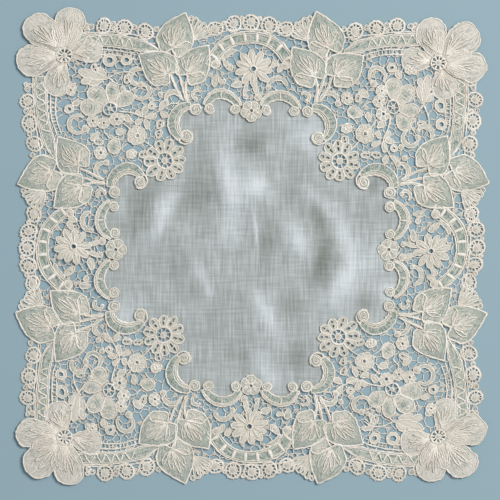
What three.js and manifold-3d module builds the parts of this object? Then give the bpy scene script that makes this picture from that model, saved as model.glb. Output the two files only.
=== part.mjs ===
// A lace handkerchief laid flat: a centre of sheer linen with a wide border of needle lace.
// Millimetres. The sides run along X and Y, Z is up, and the surface it lies on is z = 0.
// The border repeats eight times. The tables give the left half of the +Y side, and each
// row is mirrored to the right half and turned to the other three sides.

import * as THREE from 'three';
import { mergeVertices } from 'three/addons/utils/BufferGeometryUtils.js';
import Module from 'manifold-3d';

const wasm = await Module();
wasm.setup();

// Half the width of the whole cloth
const halfSide = 165;

// How high each kind of work stands above the surface
const groundHeight = 1.0;
const linenHeight = 1.0;
const bandHeight = 1.4;
const leafHeight = 1.6;
const daisyHeight = 1.7;
const scrollHeight = 2.4;
const petalHeights = [2.2, 1.9, 2.0, 1.6, 1.7];

// The air left between the linen and the lace over and beside it
const clearance = 0.3;

// Sizes that drive the ground: its gaps, and the thin bars between them
const barWidth = 1.2;
const narrowestReach = 2.4;
const widestReach = 4.8;
const reachSpread = 0.15;
const workMargin = 0.5;
const gapCorners = 5;
const gapsPerSide = 50;
const searchStep = 0.8;
const inwardPull = 0.0002;

// Cutting plates run from well below the work to well above it
const deepTop = 6;
const deepBottom = -2;

// Facets that lie this close to one plane become one face
const flatTolerance = 0.005;

// How far a hand-made motif strays from its exact place
const stray = 0.6;

// Soft rises in the linen, each with a place, a radius and a height
const linenRises = [
  { x: -5, y: 45, radius: 26, rise: 1.2 },
  { x: 30, y: 6, radius: 20, rise: 1.0 },
  { x: 70, y: -25, radius: 20, rise: 0.8 },
  { x: -65, y: 15, radius: 24, rise: 0.9 },
  { x: 5, y: -55, radius: 26, rise: 0.8 },
];

// The four corner flowers, with a centre and the turn and reach of five petals
const cornerFlowers = [
  { x: -131.0, y: 134.2, turns: [140, 75, 197, 15, 256], reaches: [35, 34.0, 34.0, 27, 27] },
  { x: 132.0, y: 131.2, turns: [50, 111, -9, 172, -68], reaches: [35, 35.0, 33.2, 27, 27] },
  { x: -131.0, y: -133.0, turns: [222, 165, 281, 105, 350], reaches: [35, 34.0, 34.9, 27, 27] },
  { x: 131.5, y: -132.0, turns: [-46, 15, -106, 67, 203], reaches: [35, 33.6, 35.0, 27, 27] },
];
const cornerPetalWidth = 23;

// Half of a petal's and of a leaf's outline, as shares of the length and of half the width
const petalForm = [
  { along: 0.0, half: 0.16 },
  { along: 0.32, half: 0.64 },
  { along: 0.66, half: 1.0 },
  { along: 0.9, half: 0.76 },
  { along: 1.0, half: 0.2 },
];
const leafForm = [
  { along: 0.0, half: 0.0 },
  { along: -0.06, half: 0.55 },
  { along: 0.2, half: 1.0 },
  { along: 0.54, half: 0.88 },
  { along: 0.82, half: 0.45 },
  { along: 1.0, half: 0.0 },
];

// The leaves of one cluster, from the notch at the stem to the tip
const leaves = [
  { x: -57, y: 122, tipX: -77, tipY: 137.5, width: 24.5 },
  { x: -55, y: 140, tipX: -45, tipY: 165, width: 25 },
  { x: -46, y: 121.5, tipX: -28, tipY: 140, width: 24 },
];

// The small ring motifs along the edge, and the fans beside the upper leaf
const edgeRings = [
  { x: -12.5, y: 156.5, radius: 5.6 },
  { x: -24.5, y: 153, radius: 5.6 },
  { x: -74, y: 153, radius: 5.8 },
  { x: -89, y: 156, radius: 5.8 },
  { x: -104, y: 157, radius: 5.6 },
];
const middleRing = { x: 0, y: 158, radius: 5.6 };
const ringCorners = 6;
const fan = { x: -41.5, y: 146, reach: 16, turn: 50, spread: 56, lobes: 3 };
const fanNotch = 0.88;

// How wide an arched band is at its ends, as a share of its full width
const bandEnd = 0.72;

// The bands: an arch over each side's middle, and a long band beside each corner flower
const arch = { y: 117.5, radius: 30, from: 22, to: 158, width: 7.5, steps: 8 };
const longBand = [
  { x: -116, y: 147 },
  { x: -96, y: 146.5 },
  { x: -82, y: 144.5 },
  { x: -68, y: 138.5 },
];
const longBandWidth = 8.5;
const ladder = [
  { x: -108, y: 137 },
  { x: -92, y: 137 },
  { x: -80, y: 134 },
];
const ladderWidth = 2.6;

// The scrolls along the linen: an arc with a curled knob at each end
const sideScroll = { x: -20.5, y: 94.5, radius: 13, from: 22, to: 158, width: 5.6, steps: 5 };
const cornerScroll = { x: -43.8, y: 87, radius: 12, from: 86, to: 236, width: 7.2, steps: 5 };
const knobs = [
  { x: -11, y: 97, radius: 3.8 },
  { x: -30, y: 97, radius: 3.8 },
  { x: -39.5, y: 96.5, radius: 4.4 },
  { x: -46.5, y: 78.5, radius: 4.8 },
];
const knobCorners = 5;

// Flowers that repeat once on each side or corner. A petal's end is blunt over this share of
// its turn to each side, and the outline is drawn in to the inner share of the radius between
const lobeShare = 0.22;
const sideFlower = { x: 0, y: 96, radius: 6.2, petals: 5, inner: 0.8 };
const innerFlower = { x: -61.5, y: 61.5, radius: 14, petals: 8, inner: 0.78 };
const daisy = { x: 2, y: 125.5, radius: 13.2, petals: 9, inner: 0.6 };

// Stems from the leaves to the scroll
const stems = [
  { x: -57, y: 122, toX: -48, toY: 103 },
  { x: -54, y: 140, toX: -46, toY: 104 },
  { x: -45, y: 121, toX: -44, toY: 103 },
];
const stemWidth = 2.2;

// The spray in each corner and the sprigs beside each daisy: petals, buds and small leaves
const sprays = [
  { x: -104, y: 99.5, turn: 178, length: 17, width: 11.5 },
  { x: -102, y: 103, turn: 139, length: 16.5, width: 11 },
  { x: -98.5, y: 103.5, turn: 82, length: 14.5, width: 9.5 },
  { x: -95, y: 102, turn: 32, length: 14, width: 11 },
  { x: -104, y: 95.5, turn: 208, length: 12, width: 8 },
  { x: -89.5, y: 92, turn: 180, length: 9.5, width: 8.5 },
  { x: -80.5, y: 72.2, turn: 90, length: 13.4, width: 13.5 },
  { x: -93.5, y: 78.5, turn: 262, length: 11, width: 9.5 },
  { x: -99, y: 122.5, turn: 164, length: 21, width: 7 },
  { x: -99.5, y: 128.5, turn: 90, length: 9, width: 9 },
  { x: -87, y: 129.5, turn: 90, length: 7.5, width: 7.5 },
  { x: -128, y: 96, turn: 90, length: 6.5, width: 6.5 },
  { x: -119, y: 86, turn: 135, length: 11, width: 10 },
  { x: -78, y: 105.5, turn: 90, length: 10, width: 10 },
  { x: -14, y: 129.5, turn: 150, length: 9, width: 5 },
  { x: -11, y: 121, turn: 110, length: 8, width: 4.5 },
  { x: 15, y: 116, turn: 10, length: 11, width: 4.5 },
  { x: -24, y: 113.5, turn: 70, length: 7, width: 4.5 },
];
const sprayStems = [
  { x: -99.5, y: 99, toX: -80.5, toY: 79 },
  { x: -80.5, y: 79, toX: -66, toY: 66 },
  { x: -93, y: 96, toX: -62, toY: 100 },
  { x: 2, y: 118, toX: 5, toY: 104 },
];

// The outer line of the ground, from the middle of the side towards the corner
const edgeLine = [
  { x: -10, y: 153.8 },
  { x: -24, y: 151.5 },
  { x: -34, y: 151.5 },
  { x: -60, y: 150 },
  { x: -70, y: 150 },
  { x: -92, y: 153.4 },
  { x: -122, y: 153.4 },
];

// The linen's own line between the scrolls and under the inner corner flower
const linenMiddle = { x: 0, y: 97.5 };
const linenBetween = { x: -35.5, y: 97 };
const linenUnderFlower = [
  { x: -52, y: 70 },
  { x: -55.5, y: 60 },
];

const radians = THREE.MathUtils.degToRad;

// A number from 0 to 1 that depends only on the two numbers given
function chance(a, b) {
  const wave = Math.sin(a * 12.9898 + b * 78.233) * 43758.5453;
  return wave - Math.floor(wave);
}

// An outline turned by some degrees and moved
function moved(outline, x, y, turn = 0) {
  const c = Math.cos(radians(turn));
  const s = Math.sin(radians(turn));
  return outline.map(([px, py]) => [x + c * px - s * py, y + s * px + c * py]);
}

// An outline carried to one of the eight repeats
function repeated(outline, { quarter, mirrored }) {
  const c = [1, 0, -1, 0][quarter];
  const s = [0, 1, 0, -1][quarter];
  const turned = outline.map(([x, y]) => {
    const across = mirrored ? -x : x;
    return [c * across - s * y, s * across + c * y];
  });
  return mirrored ? turned.reverse() : turned;
}

// An anticlockwise outline pushed outwards by a distance
function grown(outline, distance) {
  const count = outline.length;
  return outline.map(([x, y], i) => {
    const [ax, ay] = outline[(i + count - 1) % count];
    const [bx, by] = outline[(i + 1) % count];
    const along = Math.hypot(bx - ax, by - ay);
    return [x + (distance * (by - ay)) / along, y - (distance * (bx - ax)) / along];
  });
}

// A petal or leaf along +X, from the half outline of its form
function formed(form, length, width) {
  const right = form.map(({ along, half }) => [along * length, (-half * width) / 2]);
  const left = right.filter(([, y]) => y !== 0).map(([x, y]) => [x, -y]);
  return [...right, ...left.reverse()];
}

// Points along an arc, from one angle to another in degrees
function arcLine({ x, y, radius, from, to, steps }) {
  const points = [];
  for (let i = 0; i <= steps; i++) {
    const angle = radians(from + ((to - from) * i) / steps);
    points.push([x + radius * Math.cos(angle), y + radius * Math.sin(angle)]);
  }
  return points;
}

// A band with an arc as its middle line, drawn in to a narrower end
function arcBand(spec) {
  const taper = (i) => bandEnd + (1 - bandEnd) * Math.sin((Math.PI * i) / spec.steps);
  const middle = arcLine(spec);
  const side = (sign) =>
    middle.map(([x, y], i) => {
      const reach = (sign * spec.width * taper(i)) / 2;
      return [x + (reach * (x - spec.x)) / spec.radius, y + (reach * (y - spec.y)) / spec.radius];
    });
  return [...side(1), ...side(-1).reverse()];
}

// A band of one width along a line of points
function lineBand(line, width) {
  const side = (sign) =>
    line.map(({ x, y }, i) => {
      const before = line[Math.max(i - 1, 0)];
      const after = line[Math.min(i + 1, line.length - 1)];
      const along = Math.hypot(after.x - before.x, after.y - before.y);
      const reach = (sign * width) / 2 / along;
      return [x + reach * (after.y - before.y), y - reach * (after.x - before.x)];
    });
  return [...side(1), ...side(-1).reverse()];
}

// A straight stem between two points
function stemBand({ x, y, toX, toY }) {
  return lineBand([{ x, y }, { x: toX, y: toY }], stemWidth);
}

// A flower seen from above, its outline drawn in between the petals
function rosette({ x, y, radius, petals, inner }) {
  const points = [];
  for (let i = 0; i < petals; i++) {
    for (const [share, reach] of [[-lobeShare, 1], [lobeShare, 1], [0.5, inner]]) {
      const angle = (2 * Math.PI * (i + share)) / petals;
      points.push([x + reach * radius * Math.cos(angle), y + reach * radius * Math.sin(angle)]);
    }
  }
  return points;
}

// A round motif with a few corners
function round({ x, y, radius }, corners, turn = 0) {
  const points = [];
  for (let i = 0; i < corners; i++) {
    const angle = (2 * Math.PI * i) / corners + radians(turn);
    points.push([x + radius * Math.cos(angle), y + radius * Math.sin(angle)]);
  }
  return points;
}

// A fan of lobes that spring from one point
function fanOutline({ x, y, reach, turn, spread, lobes }) {
  const points = [[x, y]];
  for (let i = 0; i <= 2 * lobes; i++) {
    const angle = radians(turn - spread / 2 + (spread * i) / (2 * lobes));
    const length = i % 2 ? reach : fanNotch * reach;
    points.push([x + length * Math.cos(angle), y + length * Math.sin(angle)]);
  }
  return points;
}

// A mesh geometry as a solid that can be joined and cut
function asSolid(geometry) {
  geometry.deleteAttribute('normal');
  geometry.deleteAttribute('uv');
  const merged = mergeVertices(geometry);
  return new wasm.Manifold(
    new wasm.Mesh({
      numProp: 3,
      vertProperties: new Float32Array(merged.attributes.position.array),
      triVerts: new Uint32Array(merged.index.array),
    }),
  );
}

// Outlines raised into plates between two heights
function plates(outlines, top, bottom = 0) {
  const shapes = outlines.map((outline) => new THREE.Shape(outline.map(([x, y]) => new THREE.Vector2(x, y))));
  const geometry = new THREE.ExtrudeGeometry(shapes, { depth: top - bottom, bevelEnabled: false });
  geometry.translate(0, 0, bottom);
  return asSolid(geometry);
}

// Many solids as one, joined two by two
function joined(solids) {
  let rest = solids;
  while (rest.length > 1) {
    const pairs = [];
    for (let i = 0; i < rest.length; i += 2) {
      const second = rest[i + 1];
      pairs.push(second ? rest[i].add(second) : rest[i]);
      if (second) {
        rest[i].delete();
        second.delete();
      }
    }
    rest = pairs;
  }
  return rest[0];
}

// Every repeat of the border, in order round the cloth
const repeats = [0, 1, 2, 3].flatMap((quarter) => [
  { quarter, mirrored: false },
  { quarter, mirrored: true },
]);
const quarters = repeats.filter(({ mirrored }) => !mirrored);

// Every motif of the border as an outline with the height it stands to
const motifs = [];

// One motif on each of the given repeats, with the small stray of handwork
function repeatMotif(outline, top, places, strayed = 0) {
  for (const place of places) {
    const number = motifs.length;
    const shiftX = strayed * (2 * chance(number, 1) - 1);
    const shiftY = strayed * (2 * chance(number, 2) - 1);
    motifs.push({ outline: repeated(moved(outline, shiftX, shiftY), place), top });
  }
}

for (const { x, y, turns, reaches } of cornerFlowers) {
  turns.forEach((turn, i) => {
    const outline = formed(petalForm, reaches[i], cornerPetalWidth);
    motifs.push({ outline: moved(outline, x, y, turn), top: petalHeights[i] });
  });
}
for (const { x, y, tipX, tipY, width } of leaves) {
  const length = Math.hypot(tipX - x, tipY - y);
  const turn = THREE.MathUtils.radToDeg(Math.atan2(tipY - y, tipX - x));
  repeatMotif(moved(formed(leafForm, length, width), x, y, turn), leafHeight, repeats, stray);
}
edgeRings.forEach((ring, i) => repeatMotif(round(ring, ringCorners, 17 * i), groundHeight, repeats, stray));
repeatMotif(round(middleRing, ringCorners), groundHeight, quarters);
repeatMotif(fanOutline(fan), groundHeight, repeats);
repeatMotif(arcBand({ x: 0, ...arch }), bandHeight, quarters);
repeatMotif(lineBand(longBand, longBandWidth), bandHeight, repeats);
repeatMotif(lineBand(ladder, ladderWidth), groundHeight, repeats);
repeatMotif(arcBand(sideScroll), scrollHeight, repeats);
repeatMotif(arcBand(cornerScroll), scrollHeight, repeats);
knobs.forEach((knob, i) => repeatMotif(round(knob, knobCorners, 25 * i), scrollHeight, repeats));
repeatMotif(rosette(sideFlower), scrollHeight, quarters);
repeatMotif(rosette(innerFlower), scrollHeight, quarters);
repeatMotif(rosette(daisy), daisyHeight, quarters, stray);
stems.forEach((stem) => repeatMotif(stemBand(stem), groundHeight, repeats));
sprayStems.forEach((stem) => repeatMotif(stemBand(stem), groundHeight, quarters));
for (const { x, y, turn, length, width } of sprays) {
  repeatMotif(moved(formed(petalForm, length, width), x, y, turn), groundHeight, quarters, stray);
}

// Points of one eighth carried round all eight repeats as one closed outline
function allRound(eighth) {
  const first = eighth.map(({ x, y }) => [x, y]);
  const closed = [];
  for (const { quarter } of quarters) {
    const right = repeated(first, { quarter, mirrored: true });
    closed.push(...right, ...repeated(first, { quarter, mirrored: false }));
  }
  return closed.filter(([x, y], i) => {
    const [beforeX, beforeY] = closed[(i + closed.length - 1) % closed.length];
    return Math.hypot(x - beforeX, y - beforeY) > clearance;
  });
}

const asPoints = (line) => line.map(([x, y]) => ({ x, y }));
const linenOutline = allRound([
  linenMiddle,
  ...asPoints(arcLine(sideScroll)),
  linenBetween,
  ...asPoints(arcLine(cornerScroll)),
  ...linenUnderFlower,
]);
const groundOutline = allRound(edgeLine);

// Whether a point lies inside an outline
function holds(outline, x, y) {
  let within = false;
  outline.forEach(([ax, ay], i) => {
    const [bx, by] = outline[(i + 1) % outline.length];
    if (ay > y !== by > y && x < ax + ((y - ay) * (bx - ax)) / (by - ay)) within = !within;
  });
  return within;
}

// How far a point is from the edge of an outline
function awayFrom(outline, x, y) {
  return Math.min(
    ...outline.map(([ax, ay], i) => {
      const [bx, by] = outline[(i + 1) % outline.length];
      const share = ((x - ax) * (bx - ax) + (y - ay) * (by - ay)) / ((bx - ax) ** 2 + (by - ay) ** 2);
      const held = Math.min(Math.max(share, 0), 1);
      return Math.hypot(x - ax - held * (bx - ax), y - ay - held * (by - ay));
    }),
  );
}

// The gaps between the bars, widest first, in the open ground between the motifs
function groundGaps() {
  const work = [linenOutline, ...motifs.map(({ outline }) => outline)].map((outline) => {
    const box = new THREE.Box2().setFromPoints(outline.map(([x, y]) => new THREE.Vector2(x, y)));
    return { outline, box: box.expandByScalar(widestReach + workMargin) };
  });
  const point = new THREE.Vector2();
  const places = [];
  for (let x = -halfSide; x <= halfSide; x += searchStep) {
    for (let y = -halfSide; y <= halfSide; y += searchStep) {
      if (!holds(groundOutline, x, y)) continue;
      point.set(x, y);
      const near = work.filter(({ box }) => box.containsPoint(point));
      if (near.some(({ outline }) => holds(outline, x, y))) continue;
      const lines = [groundOutline, ...near.map(({ outline }) => outline)];
      const room = Math.min(widestReach + workMargin, ...lines.map((line) => awayFrom(line, x, y)));
      if (room - workMargin > narrowestReach) places.push({ x, y, room });
    }
  }
  const gaps = [];
  const rank = ({ x, y, room }) => room - inwardPull * Math.hypot(x, y);
  for (const { x, y, room } of places.sort((first, second) => rank(second) - rank(first))) {
    const others = gaps.map((gap) => Math.hypot(gap.x - x, gap.y - y) - gap.reach - barWidth);
    const reach = Math.min(room - workMargin, widestReach, ...others);
    if (reach > narrowestReach) gaps.push({ x, y, reach });
  }
  const sideOf = ({ x, y }) => (Math.abs(x) > Math.abs(y) ? 2 : 0) + (x + y > 0 ? 1 : 0);
  return [0, 1, 2, 3].flatMap((side) =>
    gaps
      .filter((gap) => sideOf(gap) === side)
      .sort((first, second) => second.reach - first.reach)
      .slice(0, gapsPerSide)
      .map(gapOutline),
  );
}

// One gap as an uneven outline about its middle
function gapOutline({ x, y, reach }) {
  const points = [];
  for (let i = 0; i < gapCorners; i++) {
    const angle = (2 * Math.PI * (i + 2 * reachSpread * chance(x + i, y))) / gapCorners + chance(x, y);
    const length = reach * (1 + reachSpread * chance(x, y + i));
    points.push([x + length * Math.cos(angle), y + length * Math.sin(angle)]);
  }
  return points;
}

function makeLace() {
  const ground = plates([groundOutline], groundHeight).subtract(plates(groundGaps(), deepTop, deepBottom));
  const lace = joined([ground, ...motifs.map(({ outline, top }) => plates([outline], top))]);
  const linenRoom = plates([grown(linenOutline, clearance)], linenHeight + clearance, deepBottom);
  return lace.subtract(linenRoom).asOriginal().simplify(flatTolerance);
}

function makeLinen() {
  const span = 1.4 * halfSide;
  const cells = 14;
  const geometry = new THREE.BoxGeometry(span, span, linenHeight, cells, cells, 1);
  geometry.translate(0, 0, linenHeight / 2);
  const position = geometry.attributes.position;
  for (let i = 0; i < position.count; i++) {
    if (position.getZ(i) < linenHeight / 2) continue;
    const x = position.getX(i);
    const y = position.getY(i);
    const lift = linenRises.reduce((sum, spot) => {
      const away = Math.hypot(x - spot.x, y - spot.y) / spot.radius;
      return sum + (away < 1 ? spot.rise * (1 - away * away) ** 2 : 0);
    }, 0);
    position.setZ(i, linenHeight + lift);
  }
  const cutter = plates([linenOutline], deepTop, deepBottom);
  return asSolid(geometry).intersect(cutter).asOriginal().simplify(flatTolerance);
}

// A solid as a named mesh with its own finish
function asMesh(solid, name, color, roughness) {
  const { vertProperties, triVerts } = solid.getMesh();
  const geometry = new THREE.BufferGeometry();
  geometry.setAttribute('position', new THREE.BufferAttribute(vertProperties, 3));
  geometry.setIndex(new THREE.BufferAttribute(triVerts, 1));
  geometry.computeVertexNormals();
  const mesh = new THREE.Mesh(geometry, new THREE.MeshStandardMaterial({ color, roughness, metalness: 0 }));
  mesh.name = name;
  return mesh;
}

const handkerchief = new THREE.Group();
handkerchief.add(asMesh(makeLinen(), 'linen_centre', 0xb4bebe, 0.85));
handkerchief.add(asMesh(makeLace(), 'lace_border', 0xe2dac9, 0.9));

export default handkerchief;
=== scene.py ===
"""A lace handkerchief laid flat: a sheer linen centre in a wide border of needle lace.

The border repeats round the cloth. Its tables are in millimetres and give the work of one side,
mostly its left half. A motif is turned to the other three sides, and most are mirrored as well.
"""

import math
from collections import namedtuple

import bpy
import numpy as np
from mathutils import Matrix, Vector
from mathutils.geometry import delaunay_2d_cdt


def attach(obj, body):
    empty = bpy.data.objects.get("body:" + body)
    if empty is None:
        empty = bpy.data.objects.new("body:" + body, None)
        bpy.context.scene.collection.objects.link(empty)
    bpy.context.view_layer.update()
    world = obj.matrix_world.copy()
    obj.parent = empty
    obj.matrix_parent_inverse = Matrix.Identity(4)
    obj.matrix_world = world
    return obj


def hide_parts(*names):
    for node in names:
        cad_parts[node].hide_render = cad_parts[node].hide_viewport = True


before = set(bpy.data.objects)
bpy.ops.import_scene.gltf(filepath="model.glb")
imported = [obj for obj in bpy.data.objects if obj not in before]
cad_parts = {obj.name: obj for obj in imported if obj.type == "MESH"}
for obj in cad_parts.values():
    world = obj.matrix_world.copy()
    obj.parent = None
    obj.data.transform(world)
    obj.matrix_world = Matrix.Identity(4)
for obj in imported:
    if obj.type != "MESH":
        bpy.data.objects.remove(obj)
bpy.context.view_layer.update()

# The centre: one piece of sheer plain-woven linen, cut like a wide cross. Its edge runs under the
# scrolls of the border, where it is sewn down, and it lies in low soft waves.

MM = 0.001
# How far the finished work is set down, so that its lowest threads lie on the surface
set_down = 0.4


def arc(x, y, radius, start, end, steps=24):
    """Points along an arc, from one angle to another in degrees."""
    angle = np.radians(np.linspace(start, end, steps))
    return np.stack([x + radius * np.cos(angle), y + radius * np.sin(angle)], 1)


def turned(points, quarter, mirrored):
    """Points of the +Y side, mirrored or not, turned to one of the four sides."""
    points = np.array(points, float)
    x = -points[:, 0] if mirrored else points[:, 0].copy()
    y = points[:, 1].copy()
    c, s = ((1, 0), (0, 1), (-1, 0), (0, -1))[quarter]
    points[:, 0] = c * x - s * y
    points[:, 1] = s * x + c * y
    return points


def all_round(eighth):
    """One eighth of an outline, carried round the whole cloth, anticlockwise."""
    line = []
    for quarter in range(4):
        line.append(turned(eighth, quarter, True)[::-1])
        line.append(turned(eighth, quarter, False))
    line = np.concatenate(line)
    return line[np.hypot(*(line - np.roll(line, 1, 0)).T) > 0.3]


def holds(outline, x, y):
    """Whether points lie inside an outline."""
    within = np.zeros(np.shape(x), bool)
    for (ax, ay), (bx, by) in zip(outline, np.roll(outline, -1, 0)):
        if ay != by:
            within ^= ((ay > y) != (by > y)) & (x < ax + (y - ay) * (bx - ax) / (by - ay))
    return within


def spread(outline, step):
    """The same closed outline with its points at an even distance."""
    closed = np.concatenate([outline, outline[:1]])
    along = np.concatenate([[0], np.cumsum(np.hypot(*np.diff(closed, axis=0).T))])
    places = np.linspace(0, along[-1], int(along[-1] / step), endpoint=False)
    return np.stack([np.interp(places, along, closed[:, i]) for i in (0, 1)], 1)


def settled(points):
    """Where points of the cloth come to lie: handwork is never quite square, nor quite flat."""
    x, y, z = points.T
    across = 0.7 * np.sin(y / 37 + 0.6) + 0.5 * np.sin((x + y) / 23) + 0.35 * np.sin(x / 5 + y / 7)
    along = 0.6 * np.sin(x / 33 + 2.1) + 0.5 * np.sin((x - y) / 26 + 1) + 0.35 * np.sin(x / 6.5 - y / 5.5)
    across = across + 0.16 * np.sin(1.5 * y + 0.6 * x) + 0.12 * np.sin(2.6 * x - 1.1 * y)
    along = along + 0.16 * np.sin(1.6 * x - 0.7 * y) + 0.12 * np.sin(2.4 * y + 1.3 * x)
    lift = 0.3 * (1 + np.sin(x / 27 + 0.8 * np.sin(y / 31))) * (1 + np.sin(y / 23 + 1.4)) / 2
    return np.stack([x + across, y + along, z + lift - set_down], 1)


def meshed(points, ring, within, nearest):
    """The points and faces of triangles over flat points, inside a ring of edges if within is 1."""
    vectors = [Vector(point) for point in points.tolist()]
    placed, _, faces = delaunay_2d_cdt(vectors, ring, [], within, nearest)[:3]
    return np.array([tuple(point) for point in placed]), faces


def srgb(red, green, blue):
    """A colour as seen, from 0 to 255 a channel, as the shader takes it."""
    return [((c / 255 + 0.055) / 1.055) ** 2.4 for c in (red, green, blue)] + [1.0]


def new_material(name, roughness):
    """A cloth material, with its nodes and its shader."""
    material = bpy.data.materials.new(name)
    material.use_nodes = True
    tree = material.node_tree
    shader = tree.nodes["Principled BSDF"]
    shader.inputs["Roughness"].default_value = roughness
    shader.inputs["Specular IOR Level"].default_value = 0.15
    return material, tree, shader


def noise(tree, place, stretch, detail):
    """A noise texture over a place, stretched by a scale for each axis."""
    mapping = tree.nodes.new("ShaderNodeMapping")
    mapping.inputs["Scale"].default_value = stretch
    tree.links.new(place, mapping.inputs["Vector"])
    texture = tree.nodes.new("ShaderNodeTexNoise")
    texture.inputs["Scale"].default_value = 1.0
    texture.inputs["Detail"].default_value = detail
    tree.links.new(mapping.outputs["Vector"], texture.inputs["Vector"])
    return texture.outputs["Fac"]


def attribute(tree, name):
    """The values that the points of a mesh carry under a name."""
    node = tree.nodes.new("ShaderNodeAttribute")
    node.attribute_name = name
    return node.outputs


def sum_of(tree, *shares, base=0.0):
    """Several values added up, each times its share, and a base."""
    total = None
    for value, share in shares:
        node = tree.nodes.new("ShaderNodeMath")
        node.operation = "MULTIPLY_ADD"
        tree.links.new(value, node.inputs[0])
        node.inputs[1].default_value = share
        node.inputs[2].default_value = base
        if total is not None:
            tree.links.new(total, node.inputs[2])
        total = node.outputs["Value"]
    return total


def ramp(tree, value, *stops):
    """A colour for each value, from stops of a place and a colour."""
    node = tree.nodes.new("ShaderNodeValToRGB")
    elements = node.color_ramp.elements
    while len(elements) < len(stops):
        elements.new(0.5)
    for element, (place, colour) in zip(elements, stops):
        element.position = place
        element.color = colour
    tree.links.new(value, node.inputs["Fac"])
    return node.outputs["Color"]


def bump(tree, shader, value, height):
    """Fine relief from a value, as high as given in millimetres."""
    node = tree.nodes.new("ShaderNodeBump")
    node.inputs["Distance"].default_value = height * MM
    tree.links.new(value, node.inputs["Height"])
    tree.links.new(node.outputs["Normal"], shader.inputs["Normal"])


# The arcs of the two scrolls that the edge follows: x, y, radius, and from and to in degrees
side_scroll = (-20.5, 94.5, 13, 22, 158)
corner_scroll = (-43.8, 87, 12, 86, 236)
linen_eighth = np.concatenate(
    [[(0, 97.5)], arc(*side_scroll), [(-35.5, 97)], arc(*corner_scroll), [(-52, 70), (-55.5, 60)]]
)
linen_edge = spread(all_round(linen_eighth), 1.6)

# Low waves: x, y, reach and height of each
linen_waves = (
    (-9, 45, 28, 2.0),
    (30, 6, 20, 1.9),
    (64, -22, 24, 1.6),
    (-64, 20, 24, 1.7),
    (8, -52, 28, 1.6),
    (-34, -20, 22, 1.2),
    (84, -8, 16, 1.0),
    (-70, -38, 18, 0.8),
)

# Painted light and shade of folds, where the cloth looks lighter or darker: x, y, reach across, reach
# along, turn and strength
# The level of the painted shading where no fold is painted
painted_shading_base = 0.475
painted_fold_shading = (
    (-16.5, 44, 6.5, 24, 7, 0.52),
    (3.5, 44, 7, 8, 0, 0.50),
    (-6, 42, 9, 14, 0, 0.22),
    (-0.5, 73, 9, 9, 0, -0.42),
    (-36, 36, 13, 14, 0, -0.34),
    (-36, 68, 7, 12, 0, -0.16),
    (-63, 23, 6, 18, -21, 0.42),
    (-77, 31, 8, 20, -23, -0.32),
    (46.5, 20, 6, 13, 12, -0.42),
    (50, -9, 8, 18, -6, -0.50),
    (31, 5.5, 6, 13, 29, 0.48),
    (9.5, 4, 6, 17, -3, -0.30),
    (64.5, 9, 7.5, 21, 23, 0.38),
    (62, -26, 9, 19, -33, 0.52),
    (96, -30, 6, 9, 0, 0.40),
    (78, -49, 6, 7, 0, 0.36),
    (43, 36, 5, 14, 47, 0.22),
    (86, 44, 5, 9, -20, -0.34),
    (67, 31, 5, 12, 10, -0.06),
    (80, 17, 5, 12, 0, -0.16),
    (28.5, -41, 8, 8, 0, -0.34),
    (80, -38, 5, 7, 0, -0.30),
    (11, -47, 6, 20, 27, 0.40),
    (11, -87, 6, 13, 34, 0.40),
    (33, -75, 6, 12, 0, -0.30),
    (-5, -78, 4, 12, 10, -0.20),
    (-34, -20, 4, 15, 22, 0.32),
    (-54, -12, 7, 18, 0, -0.22),
    (42, 82, 12, 14, 0, 0.30),
    (-17, 82, 8, 10, 0, 0.14),
    (-16, 14, 7, 15, 0, 0.20),
    (85, -6, 10, 20, 18, 0.18),
    (-86, -47, 9, 11, 0, 0.32),
    (-26, -50, 12, 20, 0, -0.10),
    (30, 39, 8, 10, 0, -0.16),
    # A painted highlight along a crease
    (2.2, 11, 0.9, 13, 6, 0.80),
)


def wave_height(x, y):
    """How far the linen stands up from the surface in its low waves."""
    total = 0.12 * (1 + np.sin(x / 6 + np.sin(y / 19)))
    for wave_x, wave_y, reach, height in linen_waves:
        away = np.clip(np.hypot(x - wave_x, y - wave_y) / reach, 0, 1)
        total = total + height * (1 - away**2) ** 2
    return total


def painted_fold_shading_at(x, y):
    """How light the linen looks at a place from its painted light and shade of folds, from 0 to 1."""
    total = np.full(np.shape(x), painted_shading_base)
    for shade_x, shade_y, across, along, turn, strength in painted_fold_shading:
        c, s = math.cos(math.radians(turn)), math.sin(math.radians(turn))
        u = (c * (x - shade_x) + s * (y - shade_y)) / across
        v = (c * (y - shade_y) - s * (x - shade_x)) / along
        total = total + strength * np.exp(-(u**2) - v**2)
    return np.clip(total, 0, 1)


linen_step = 1.3
linen_half = 108
linen_height = 0.5
inner_share = 0.987
linen_columns = np.arange(-linen_half, linen_half, linen_step)
grid_x, grid_y = np.meshgrid(linen_columns, linen_columns)
inner = holds(linen_edge * inner_share, grid_x, grid_y)
linen_points = np.concatenate([linen_edge, np.stack([grid_x[inner], grid_y[inner]], 1)])
linen_ring = [(i, (i + 1) % len(linen_edge)) for i in range(len(linen_edge))]
flat, linen_faces = meshed(linen_points, linen_ring, 1, 1e-4)
placed = settled(np.column_stack([flat, linen_height + wave_height(*flat.T)]))

linen_mesh = bpy.data.meshes.new("linen_cloth")
linen_mesh.from_pydata((placed * MM).tolist(), [], linen_faces)
linen_mesh.shade_smooth()
# The linen's points carry the painted light and shade of the folds
linen_mesh.attributes.new("painted_shading", "FLOAT", "POINT").data.foreach_set("value", painted_fold_shading_at(*flat.T))
linen_cloth = bpy.data.objects.new("linen_cloth", linen_mesh)
bpy.context.collection.objects.link(linen_cloth)

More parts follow.
